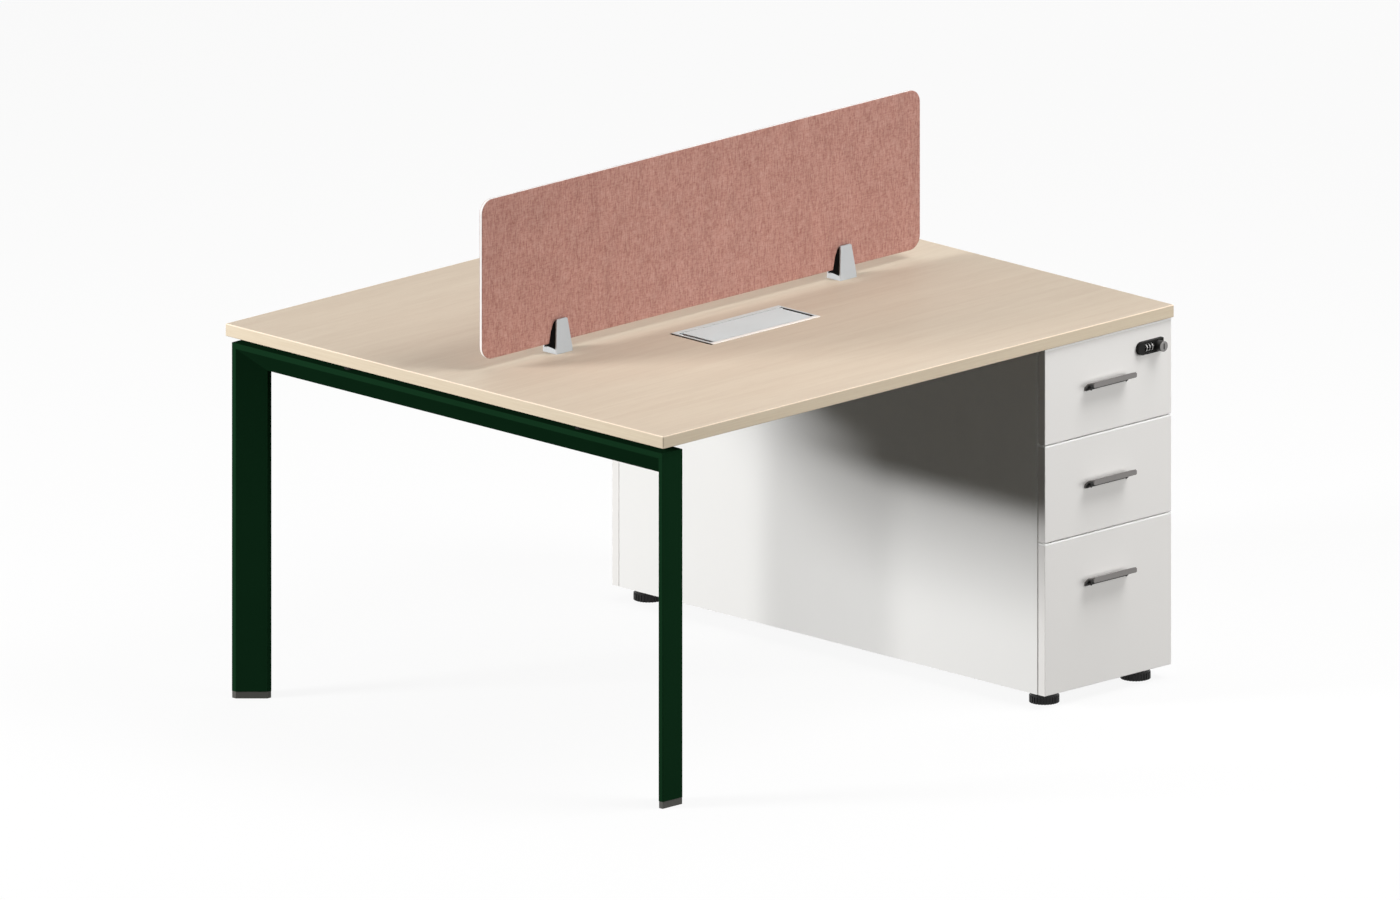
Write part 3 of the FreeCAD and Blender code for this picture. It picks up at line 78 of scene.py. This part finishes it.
# Material building blocks
class Shader:
    """A material's node tree, with the principled shader's own sockets set to constants."""

    def __init__(self, name, colour=(0.8, 0.8, 0.8), **values):
        self.material = bpy.data.materials.new(name)
        self.material.use_nodes = True
        self.tree = self.material.node_tree
        self.surface = self.tree.nodes["Principled BSDF"]
        self.surface.inputs["Base Color"].default_value = (*colour, 1)
        for socket, value in values.items():
            self.surface.inputs[socket.replace("_", " ")].default_value = value
        self.place = self.tree.nodes.new("ShaderNodeTexCoord").outputs["Object"]

    def link(self, source, target):
        self.tree.links.new(source, target)

    def colour(self, source):
        self.link(source, self.surface.inputs["Base Color"])

    def rough(self, source):
        self.link(source, self.surface.inputs["Roughness"])

    def stretch(self, scale, turn=(0, 0, 0)):
        """Object coordinates scaled along each axis."""
        node = self.tree.nodes.new("ShaderNodeMapping")
        node.inputs["Scale"].default_value = scale
        node.inputs["Rotation"].default_value = turn
        self.link(self.place, node.inputs["Vector"])
        return node.outputs["Vector"]

    def noise(self, scale, detail=3.0, roughness=0.5, distortion=0.0, turn=(0, 0, 0)):
        node = self.tree.nodes.new("ShaderNodeTexNoise")
        node.inputs["Scale"].default_value = 1
        node.inputs["Detail"].default_value = detail
        node.inputs["Roughness"].default_value = roughness
        node.inputs["Distortion"].default_value = distortion
        spread = scale if isinstance(scale, tuple) else (scale,) * 3
        self.link(self.stretch(spread, turn), node.inputs["Vector"])
        return node.outputs["Fac"]

    def voronoi(self, scale):
        node = self.tree.nodes.new("ShaderNodeTexVoronoi")
        node.inputs["Scale"].default_value = 1
        spread = scale if isinstance(scale, tuple) else (scale,) * 3
        self.link(self.stretch(spread), node.inputs["Vector"])
        return node.outputs["Distance"]

    def wave(self, direction, scale, distortion=0.0):
        """Sine bands across an axis, counted in bands per metre."""
        node = self.tree.nodes.new("ShaderNodeTexWave")
        node.bands_direction = direction
        node.wave_profile = "SIN"
        node.inputs["Scale"].default_value = scale / 20 * 2 * math.pi
        node.inputs["Distortion"].default_value = distortion
        node.inputs["Detail"].default_value = 1
        node.inputs["Detail Scale"].default_value = 2
        self.link(self.place, node.inputs["Vector"])
        return node.outputs["Fac"]

    def ramp(self, source, *stops):
        """Colour ramp; each stop is a place and a colour."""
        node = self.tree.nodes.new("ShaderNodeValToRGB")
        ramp = node.color_ramp
        while len(ramp.elements) < len(stops):
            ramp.elements.new(0.5)
        for element, (place, colour) in zip(ramp.elements, stops):
            element.position = place
            element.color = (*colour, 1)
        self.link(source, node.inputs["Fac"])
        return node.outputs["Color"]

    def mix(self, kind, amount, first, second):
        """Blend of two colours; each is a socket or a constant."""
        node = self.tree.nodes.new("ShaderNodeMix")
        node.data_type = "RGBA"
        node.blend_type = kind
        for socket, value in ((MIX_SHARE, amount), (MIX_FIRST, first), (MIX_SECOND, second)):
            if isinstance(value, bpy.types.NodeSocket):
                self.link(value, node.inputs[socket])
            elif socket == MIX_SHARE:
                node.inputs[socket].default_value = value
            else:
                node.inputs[socket].default_value = (*value, 1)
        return node.outputs[MIX_RESULT]

    def math(self, kind, first, second=0.0):
        node = self.tree.nodes.new("ShaderNodeMath")
        node.operation = kind
        for number, value in enumerate((first, second)):
            if isinstance(value, bpy.types.NodeSocket):
                self.link(value, node.inputs[number])
            else:
                node.inputs[number].default_value = value
        return node.outputs[0]

    def axis(self, number):
        """One of the three object coordinates."""
        node = self.tree.nodes.new("ShaderNodeSeparateXYZ")
        self.link(self.place, node.inputs[0])
        return node.outputs[number]

    def facing(self, number):
        """One of the three parts of the surface's direction in object space."""
        node = self.tree.nodes.new("ShaderNodeSeparateXYZ")
        self.link(self.place.node.outputs["Normal"], node.inputs[0])
        return node.outputs[number]

    def every(self, *tests):
        """1 where every test is 1."""
        result = tests[0]
        for test in tests[1:]:
            result = self.math("MULTIPLY", result, test)
        return result

    def range(self, source, low, high, to_low, to_high):
        node = self.tree.nodes.new("ShaderNodeMapRange")
        for number, value in enumerate((low, high, to_low, to_high), 1):
            node.inputs[number].default_value = value
        self.link(source, node.inputs[0])
        return node.outputs[0]

    def bump(self, height, distance, strength=1.0):
        """Relief of a height from 0 to 1 that stands for a distance in metres."""
        node = self.tree.nodes.new("ShaderNodeBump")
        node.inputs["Strength"].default_value = strength
        node.inputs["Distance"].default_value = distance
        self.link(height, node.inputs["Height"])
        last = self.surface.inputs["Normal"].links
        if last:
            self.link(last[0].from_socket, node.inputs["Normal"])
        self.link(node.outputs["Normal"], self.surface.inputs["Normal"])


def shade(value):
    """Linear colour of an sRGB triple from 0 to 255."""
    return tuple((part / 255 / 12.92) if part <= 10 else ((part / 255 + 0.055) / 1.055) ** 2.4
                 for part in value)


def dimmed(tone, share):
    """Colour with each part multiplied by a share."""
    return tuple(part * share for part in tone)


def laminate(name, light, dark, edge=False):
    """Printed wood laminate: streaks along the grain, pores and broad tone changes."""
    made = Shader(name, light, Roughness=0.5, Specular_IOR_Level=0.07)
    # Fineness of the noise along X, Y and Z
    streaks = (3, 46, 46)
    pores = (22, 620, 620)
    if edge:
        streaks, pores = (9, 9, 330), (45, 45, 1500)
    broad = made.noise((1.6, 5, 5), 2)
    grain = made.noise(streaks, 6, 0.6, 0.6)
    fine = made.noise(pores, 3, 0.6)
    base = made.ramp(grain, (0.32, dark), (0.68, light))
    tone = made.ramp(broad, (0.3, (0.965, 0.965, 0.965)), (0.7, (1.0, 1.0, 1.0)))
    pore = made.ramp(fine, (0.34, (0.90, 0.88, 0.86)), (0.46, (1.0, 1.0, 1.0)))
    skin = made.mix("MULTIPLY", 0.4, made.mix("MULTIPLY", 1.0, base, tone), pore)
    if edge:
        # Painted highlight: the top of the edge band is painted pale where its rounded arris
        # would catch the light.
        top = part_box("worktop_edge_band")[1][2]
        band_highlight = made.math("GREATER_THAN", made.axis(2), top - BAND_HIGHLIGHT_HEIGHT)
        skin = made.mix("MIX", band_highlight, skin, shade((245, 226, 205)))
    made.colour(skin)
    made.rough(made.range(fine, 0.3, 0.7, 0.54, 0.44))
    made.bump(fine, 0.00004)
    return made.material


def board(name, tone, highlight_start=None):
    """White melamine board with its fine pearl texture, and a painted highlight above a height,
    where a top edge would catch the light.
    """
    made = Shader(name, tone, Roughness=0.48, Specular_IOR_Level=0.3)
    pearl = made.noise(1300, 2)
    cloud = made.noise(3.5, 3)
    skin = made.ramp(cloud, (0.3, dimmed(tone, 0.985)), (0.7, tone))
    if highlight_start is not None:
        # Painted highlight: the strip above the given height is painted lighter.
        front_highlight = made.math("GREATER_THAN", made.axis(2), highlight_start)
        skin = made.mix("MIX", front_highlight, skin, FRONT_HIGHLIGHT_TONE)
    made.colour(skin)
    made.rough(made.range(pearl, 0.3, 0.7, 0.42, 0.54))
    made.bump(pearl, 0.00003)
    return made.material


def powder_coat(name, tone, roughness=0.5, specular=0.5, metallic=0.0, size=900, worn=0.06):
    """Powder coat: orange peel, with slightly uneven gloss and tone."""
    made = Shader(name, tone, Roughness=roughness, Specular_IOR_Level=specular,
                  Metallic=metallic)
    peel = made.noise(size, 2, 0.4)
    cloud = made.noise(7, 3)
    made.colour(made.ramp(cloud, (0.3, dimmed(tone, 1 - worn)), (0.7, tone)))
    made.rough(made.range(peel, 0.3, 0.7, roughness - 0.05, roughness + 0.07))
    made.bump(peel, 0.00005)
    return made.material


def moulded(name, tone, roughness=0.5, specular=0.4, grain=1600):
    """Moulded plastic with a fine spark-eroded texture."""
    made = Shader(name, tone, Roughness=roughness, Specular_IOR_Level=specular)
    texture = made.noise(grain, 2, 0.6)
    flow = made.noise((4, 4, 11), 3)
    made.colour(made.ramp(flow, (0.3, dimmed(tone, 0.93)), (0.7, tone)))
    made.rough(made.range(texture, 0.3, 0.7, roughness - 0.06, roughness + 0.08))
    made.bump(texture, 0.00005)
    return made.material


def plated(name, tone, roughness=0.32):
    """Zinc-plated steel with faint spangle and drawing lines."""
    made = Shader(name, tone, Metallic=1.0, Roughness=roughness)
    lines = made.noise((40, 40, 900), 3, 0.6)
    spangle = made.voronoi(260)
    made.colour(made.ramp(spangle, (0.0, dimmed(tone, 0.86)), (0.7, tone)))
    made.rough(made.range(lines, 0.3, 0.7, roughness - 0.08, roughness + 0.12))
    made.bump(lines, 0.00003)
    return made.material


def heathered_cloth():
    """Woven screen cloth: mixed yarns, short slubs up and across, and a plain weave relief."""
    dark, middle = shade((149, 99, 90)), shade((182, 134, 122))
    pale, straw = shade((198, 160, 148)), shade((194, 171, 143))
    made = Shader("screen_cloth", middle, Roughness=0.92, Specular_IOR_Level=0.1,
                  Sheen_Weight=0.15, Sheen_Roughness=0.5)
    upright = made.noise((410, 410, 75), 3, 0.65, 0.3)
    across = made.noise((105, 410, 410), 3, 0.65, 0.3)
    cloud = made.noise((26, 26, 14), 4, 0.6)
    warp = made.ramp(upright, (0.34, dark), (0.5, middle), (0.69, pale))
    weft = made.ramp(across, (0.33, dark), (0.5, middle), (0.7, pale))
    yarns = made.mix("MIX", 0.4, warp, weft)
    fleck = made.ramp(made.noise((480, 480, 200), 2, 0.7), (0.66, (0, 0, 0)), (0.74, (1, 1, 1)))
    flecked = made.mix("MIX", made.math("MULTIPLY", fleck, 0.55), yarns, straw)
    # Random cloudy changes of tone over the cloth, not shade.
    shadow = made.ramp(cloud, (0.3, (0.89, 0.87, 0.87)), (0.7, (1.05, 1.05, 1.05)))
    made.colour(made.mix("MULTIPLY", 0.8, flecked, shadow))
    weave = made.math("MULTIPLY", made.wave("X", 700, 1.2), made.wave("Z", 700, 1.2))
    made.bump(weave, 0.00022, 0.6)
    made.bump(upright, 0.0002, 0.5)
    return made.material


def handle_finish():
    """Grey enamel on a handle's outside, and painted shade in black within its bent strip, where
    the hollow lies in shade.
    """
    grey, dark = shade((124, 121, 119)), shade((16, 16, 15))
    made = Shader("handle_enamel", grey, Roughness=0.42, Specular_IOR_Level=0.4, Metallic=0.35)
    peel = made.noise(1400, 2, 0.4)
    cloud = made.noise(7, 3)
    skin = made.ramp(cloud, (0.3, dimmed(grey, 0.94)), (0.7, grey))
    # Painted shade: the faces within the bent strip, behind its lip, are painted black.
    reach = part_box("handle_front_top")[0][1] + HANDLE_LIP
    behind = made.math("LESS_THAN", made.math("ABSOLUTE", made.axis(1)), abs(reach))
    # The strip's cut ends and its top stay grey.
    along = made.math("LESS_THAN", made.math("ABSOLUTE", made.facing(0)), 0.5)
    below = made.math("LESS_THAN", made.facing(2), 0.3)
    made.colour(made.mix("MIX", made.every(behind, along, below), skin, dark))
    made.rough(made.range(peel, 0.3, 0.7, 0.37, 0.49))
    made.bump(peel, 0.00005)
    return made.material


def bezel_finish():
    """Grey moulding with a painted highlight in white along its lip towards each user, and
    painted shade in black down in the worktop.
    """
    grey, white, black = shade((216, 224, 224)), shade((252, 248, 242)), shade((26, 26, 25))
    made = Shader("bezel_finish", grey, Roughness=0.4, Specular_IOR_Level=0.3)
    texture = made.noise(1600, 2, 0.6)
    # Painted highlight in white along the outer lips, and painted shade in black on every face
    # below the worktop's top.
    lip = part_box("cable_box_bezels")[1][1] - BEZEL_HIGHLIGHT_WIDTH
    outside = made.math("GREATER_THAN", made.math("ABSOLUTE", made.axis(1)), lip)
    sunk_shade = made.math("LESS_THAN", made.axis(2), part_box("worktop")[1][2])
    made.colour(made.mix("MIX", sunk_shade, made.mix("MIX", outside, grey, white), black))
    made.rough(made.range(texture, 0.3, 0.7, 0.34, 0.48))
    made.bump(texture, 0.00005)
    return made.material


def lock_finish():
    """Knob: a brushed disc in front, black sides, and a plated spindle and cam behind."""
    made = Shader("lock_knob_finish", (0.02, 0.02, 0.02), Roughness=0.4)
    out = made.math("ABSOLUTE", made.axis(1))
    disc = made.math("GREATER_THAN", out, LOCK_DISC_START)
    steel = made.math("LESS_THAN", out, LOCK_STEEL_END)
    black, grey, zinc = (0.012, 0.012, 0.012), (0.21, 0.205, 0.2), (0.5, 0.5, 0.48)
    wear = made.noise(1100, 3)
    face = made.ramp(wear, (0.3, dimmed(grey, 0.9)), (0.7, grey))
    made.colour(made.mix("MIX", steel, made.mix("MIX", disc, black, face), zinc))
    made.link(made.math("MAXIMUM", disc, steel), made.surface.inputs["Metallic"])
    made.rough(made.range(wear, 0.3, 0.7, 0.3, 0.45))
    made.bump(wear, 0.00003)
    return made.material


paints = {
    "worktop": laminate("top_laminate", shade((210, 196, 177)), shade((204, 188, 169))),
    "band": laminate("edge_laminate", shade((220, 206, 183)), shade((213, 197, 173)), True),
    "green": powder_coat("frame_green", (0.0064, 0.0306, 0.0118), 0.6, 0.0, worn=0.08),
    "cap": moulded("end_cap_dark", shade((88, 88, 84)), 0.5, 0.1),
    "black": moulded("moulded_black", shade((30, 30, 30)), 0.5, 0.12),
    "foot": moulded("foot_black", shade((13, 13, 13)), 0.36, 0.3),
    "jaw": moulded("rubber_black", shade((20, 19, 19)), 0.7, 0.06),
    "rail": powder_coat("rail_grey", shade((196, 198, 198)), 0.5, 0.2),
    "zinc": plated("zinc_plate", (0.52, 0.52, 0.50)),
    "board": board("white_melamine", (0.875, 0.87, 0.855)),
    "box": powder_coat("drawer_box_grey", shade((206, 208, 207)), 0.5, 0.3),
    "handle": handle_finish(),
    "lock": moulded("lock_body_black", shade((28, 28, 27)), 0.45, 0.1),
    "wheel": moulded("lock_wheel_black", shade((10, 10, 10)), 0.5, 0.05),
    "knob": lock_finish(),
    "core": laminate("particle_board", shade((196, 168, 132)), shade((170, 140, 104))),
    "trim": moulded("screen_trim_pale", shade((233, 229, 227)), 0.45, 0.25),
    "clip": powder_coat("clip_grey", shade((182, 187, 191)), 0.42, 0.3, size=1300),
    "bezel": bezel_finish(),
    "flap": powder_coat("flap_grey", shade((219, 230, 232)), 0.42, 0.25, size=1300),
    "cloth": heathered_cloth(),
    "digit": moulded("digit_white", shade((250, 250, 248)), 0.5, 0.3),
}
# Each drawer front gets a painted highlight strip just below its top edge.
for bay in BAYS:
    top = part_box(f"drawer_front_front_{bay}")[1][2]
    paints[f"front_{bay}"] = board(f"front_melamine_{bay}", FRONT_TONE, top - FRONT_HIGHLIGHT_HEIGHT)

# Paint of each CAD node, by the start of its name; the longest start that fits counts.
FINISH = {
    "worktop": "worktop", "worktop_edge_band": "band", "frame_leg": "green",
    "frame_beam": "green", "leg_end_caps": "cap", "worktop_spacers": "black",
    "support_rails": "rail", "rail_bolts": "zinc", "pedestal_": "board", "foot_inserts": "zinc",
    "levelling_foot": "foot", "cabinet_runners": "zinc",
    "drawer_box": "box", "handle": "handle", "lock_body": "lock", "lock_knob": "knob",
    "code_wheel": "wheel", "screen_core": "core", "screen_fabric": "cloth",
    "screen_edge_trim": "trim", "screen_clips": "clip", "screen_clip_jaws": "jaw",
    "cable_box_bezels": "bezel", "cable_flap": "flap", "cable_trays": "rail",
}
FINISH.update({f"drawer_front_{bank}_{bay}": f"front_{bay}"
               for bank in BANKS for bay in BAYS})
for name, thing in nodes.items():
    key = max((start for start in FINISH if name.startswith(start)), key=len)
    thing.data.materials.clear()
    thing.data.materials.append(paints[FINISH[key]])


# Pieces made here
def piece(name, mesh, paint, body):
    """New object with a finish, riding on a CAD body."""
    made = bpy.data.objects.new(name, mesh)
    scene.collection.objects.link(made)
    mesh.materials.append(paints[paint])
    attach(made, body)
    return made


def rounded_outline(width, height, radius, steps=10):
    """Points of a rounded rectangle about the origin, counterclockwise."""
    points = []
    for number, (right, up) in enumerate(((1, 1), (-1, 1), (-1, -1), (1, -1))):
        for step in range(steps + 1):
            angle = math.radians(90 * (number + step / steps))
            points.append((right * (width / 2 - radius) + radius * math.cos(angle),
                           up * (height / 2 - radius) + radius * math.sin(angle)))
    return points


def cloth_face(side):
    """Cloth stretched over one side of the core and tucked down at its rim."""
    mesh = bpy.data.meshes.new(f"screen_cloth_{side}_mesh")
    shape = bmesh.new()
    outward = -1 if side == "front" else 1
    low, high = (Vector(corner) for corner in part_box("screen_fabric"))
    width, height = high.x - low.x, high.z - low.z
    middle = (low + high) / 2
    # Inset from the outline, and depth below the outer face.
    rings = [(0.0001, 0.0010), (0.0002, 0.0006), (0.0006, 0.00025), (0.0014, 0.00006),
             (0.004, 0.0)]
    loops = []
    for inset, depth in rings:
        outline = rounded_outline(width - 2 * inset, height - 2 * inset, SCREEN_CORNER - inset)
        place = middle.y + outward * (high.y - middle.y - depth)
        loops.append([shape.verts.new((middle.x + x, place, middle.z + z)) for x, z in outline])
    for outer, inner in zip(loops, loops[1:]):
        for number in range(len(outer)):
            after = (number + 1) % len(outer)
            shape.faces.new((outer[number], outer[after], inner[after], inner[number]))
    panel = shape.faces.new(loops[-1])
    bmesh.ops.recalc_face_normals(shape, faces=shape.faces)
    if panel.normal.y * outward < 0:
        bmesh.ops.reverse_faces(shape, faces=shape.faces)
    for face in shape.faces:
        face.smooth = True
    shape.to_mesh(mesh)
    shape.free()
    made = piece(f"screen_cloth_{side}", mesh, "cloth", "carcass")
    return made


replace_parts(cloth_face("front"), "screen_fabric")
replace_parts(cloth_face("back"), "screen_fabric")


def digits(bank, name):
    """Ring of the ten digits on one code wheel."""
    low, high = (Vector(corner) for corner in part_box(f"code_wheel_{bank}_{name}"))
    axis = (low + high) / 2
    radius = (high.y - low.y) / 2
    shape = bmesh.new()
    for digit in range(DIGIT_COUNT):
        curve = bpy.data.curves.new("digit", "FONT")
        curve.body = str((digit + FIRST_DIGIT) % DIGIT_COUNT)
        curve.size = DIGIT_SIZE
        curve.offset = DIGIT_WEIGHT
        curve.align_x, curve.align_y = "CENTER", "CENTER"
        curve.extrude = DIGIT_RELIEF
        curve.resolution_u = 2
        text = bpy.data.objects.new("digit", curve)
        scene.collection.objects.link(text)
        bpy.context.view_layer.update()
        flat = bpy.data.meshes.new_from_object(
            text.evaluated_get(bpy.context.evaluated_depsgraph_get()))
        # Upright text in front of the wheel, then turned round the wheel's axis.
        stand = Matrix.Rotation(math.pi / 2, 4, "X")
        out = Matrix.Translation((0, -(radius + DIGIT_GAP), 0))
        spin = Matrix.Rotation(math.radians(360 / DIGIT_COUNT * digit), 4, "X")
        face = Matrix.Rotation(0 if bank == "front" else math.pi, 4, "Z")
        flat.transform(Matrix.Translation(axis) @ face @ spin @ out @ stand)
        shape.from_mesh(flat)
        bpy.data.objects.remove(text)
        bpy.data.curves.remove(curve)
        bpy.data.meshes.remove(flat)
    mesh = bpy.data.meshes.new(f"code_digits_{bank}_{name}_mesh")
    shape.to_mesh(mesh)
    shape.free()
    piece(f"code_digits_{bank}_{name}", mesh, "digit", f"wheel_{bank}_{name}")


for bank in BANKS:
    for name in WHEELS:
        digits(bank, name)


# Floor, light and background
FLOOR_REACH = 30
# The floor's colour to the eye, the dimmer one of the light it returns to the part, and the
# share of plain white in it
FLOOR_COLOUR = (0.9, 0.9, 0.9, 1)
FLOOR_BOUNCE = (0.042, 0.040, 0.034, 1)
FLOOR_GLOW = 0.9
AMBIENT_COLOUR = (1.0, 0.95, 0.84, 1)
AMBIENT_STRENGTH = 0.06
# Name, azimuth, elevation, distance, target, width, height and strength of each lamp. The two
# at the back left throw the long shadows, the next two light the fronts, the fifth the top, and
# the last one the right side.
LAMPS = (
    ("light_back_left_low", 150, 13.3, 9, (-0.2, 0.2, 0.55), 2.2, 0.4, 0.61),
    ("light_back_left_high", 151, 19, 9, (-0.2, 0.2, 0.55), 2.2, 1.4, 0.64),
    ("light_front_high", 302, 57, 4.5, (0.1, -0.2, 0.6), 2.2, 2.4, 0.64),
    ("light_front_fill", 290, 12, 8, (0.3, -0.4, 0.4), 7.0, 3.2, 0.6),
    ("light_above", 60, 76, 3.6, (0.2, 0.1, 0.7), 2.6, 2.6, 0.31),
    ("light_right_fill", 35, 0, 8, (0.6, 0.2, 0.42), 5.0, 0.75, 0.5),
)
# The camera's direction in degrees, its distance, the point it looks at and the width it takes in
VIEW_AZIMUTH, VIEW_ELEVATION = 225, 15
VIEW_DISTANCE = 8
VIEW_CENTRE = (0.0004, -0.0004, 0.4773)
VIEW_WIDTH = 2.7122


def seen_ray(tree):
    """1 for rays from the camera and those mirrored or let through, otherwise 0."""
    path = tree.nodes.new("ShaderNodeLightPath")
    total = path.outputs["Is Camera Ray"]
    for name in ("Is Glossy Ray", "Is Transmission Ray"):
        node = tree.nodes.new("ShaderNodeMath")
        node.operation = "MAXIMUM"
        tree.links.new(total, node.inputs[0])
        tree.links.new(path.outputs[name], node.inputs[1])
        total = node.outputs[0]
    return total


def blend(tree, share, first, second, target):
    node = tree.nodes.new("ShaderNodeMixShader")
    tree.links.new(share, node.inputs[0])
    tree.links.new(first.outputs[0], node.inputs[1])
    tree.links.new(second.outputs[0], node.inputs[2])
    tree.links.new(node.outputs[0], tree.nodes[target].inputs["Surface"])


def floor():
    """Pale floor, shown white with a trace of the object's shadow."""
    mesh = bpy.data.meshes.new("floor_mesh")
    reach = FLOOR_REACH
    mesh.from_pydata([(-reach, -reach, 0), (reach, -reach, 0), (reach, reach, 0),
                      (-reach, reach, 0)], [], [(0, 1, 2, 3)])
    made = bpy.data.objects.new("studio_floor", mesh)
    scene.collection.objects.link(made)
    material = bpy.data.materials.new("studio_floor_white")
    material.use_nodes = True
    tree = material.node_tree
    surface = tree.nodes["Principled BSDF"]
    surface.inputs["Roughness"].default_value = 0.9
    surface.inputs["Specular IOR Level"].default_value = 0.0
    seen = seen_ray(tree)
    tone = tree.nodes.new("ShaderNodeMix")
    tone.data_type = "RGBA"
    tone.inputs[MIX_FIRST].default_value = FLOOR_BOUNCE
    tone.inputs[MIX_SECOND].default_value = FLOOR_COLOUR
    tree.links.new(seen, tone.inputs[MIX_SHARE])
    tree.links.new(tone.outputs[MIX_RESULT], surface.inputs["Base Color"])
    glow = tree.nodes.new("ShaderNodeEmission")
    glow.inputs["Strength"].default_value = 1.0
    share = tree.nodes.new("ShaderNodeMath")
    share.operation = "MULTIPLY"
    share.inputs[1].default_value = FLOOR_GLOW
    tree.links.new(seen, share.inputs[0])
    blend(tree, share.outputs[0], surface, glow, "Material Output")
    mesh.materials.append(material)


def direction(azimuth, elevation):
    """Unit vector towards an azimuth from +X and an elevation, both in degrees."""
    turn, rise = math.radians(azimuth), math.radians(elevation)
    return Vector((math.cos(rise) * math.cos(turn), math.cos(rise) * math.sin(turn),
                   math.sin(rise)))


def soft_box(name, azimuth, elevation, distance, target, width, height, strength):
    """Area lamp; its strength is the brightness of a white face at the target, turned to it."""
    light = bpy.data.lights.new(name, "AREA")
    light.shape = "RECTANGLE"
    light.size, light.size_y = width, height
    light.energy = strength * (math.pi * distance) ** 2
    made = bpy.data.objects.new(name, light)
    scene.collection.objects.link(made)
    outward = direction(azimuth, elevation)
    made.location = Vector(target) + outward * distance
    made.rotation_euler = outward.to_track_quat("Z", "Y").to_euler()


def background():
    """Dim, slightly warm light from all round, shown as plain white."""
    world = bpy.data.worlds.new("studio")
    scene.world = world
    world.use_nodes = True
    tree = world.node_tree
    ambient = tree.nodes["Background"]
    ambient.inputs["Color"].default_value = AMBIENT_COLOUR
    ambient.inputs["Strength"].default_value = AMBIENT_STRENGTH
    white = tree.nodes.new("ShaderNodeBackground")
    white.inputs["Color"].default_value = (1, 1, 1, 1)
    white.inputs["Strength"].default_value = 1.0
    blend(tree, seen_ray(tree), ambient, white, "World Output")


floor()
for lamp in LAMPS:
    soft_box(*lamp)
background()

# Camera: parallel projection from the front left, 15 degrees above the horizon
lens = bpy.data.cameras.new("camera")
lens.type = "ORTHO"
lens.ortho_scale = VIEW_WIDTH
lens.clip_end = 60
camera = bpy.data.objects.new("camera", lens)
scene.collection.objects.link(camera)
back = direction(VIEW_AZIMUTH, VIEW_ELEVATION)
camera.location = Vector(VIEW_CENTRE) + back * VIEW_DISTANCE
camera.rotation_euler = back.to_track_quat("Z", "Y").to_euler()
scene.camera = camera

scene.view_settings.view_transform = "Standard"
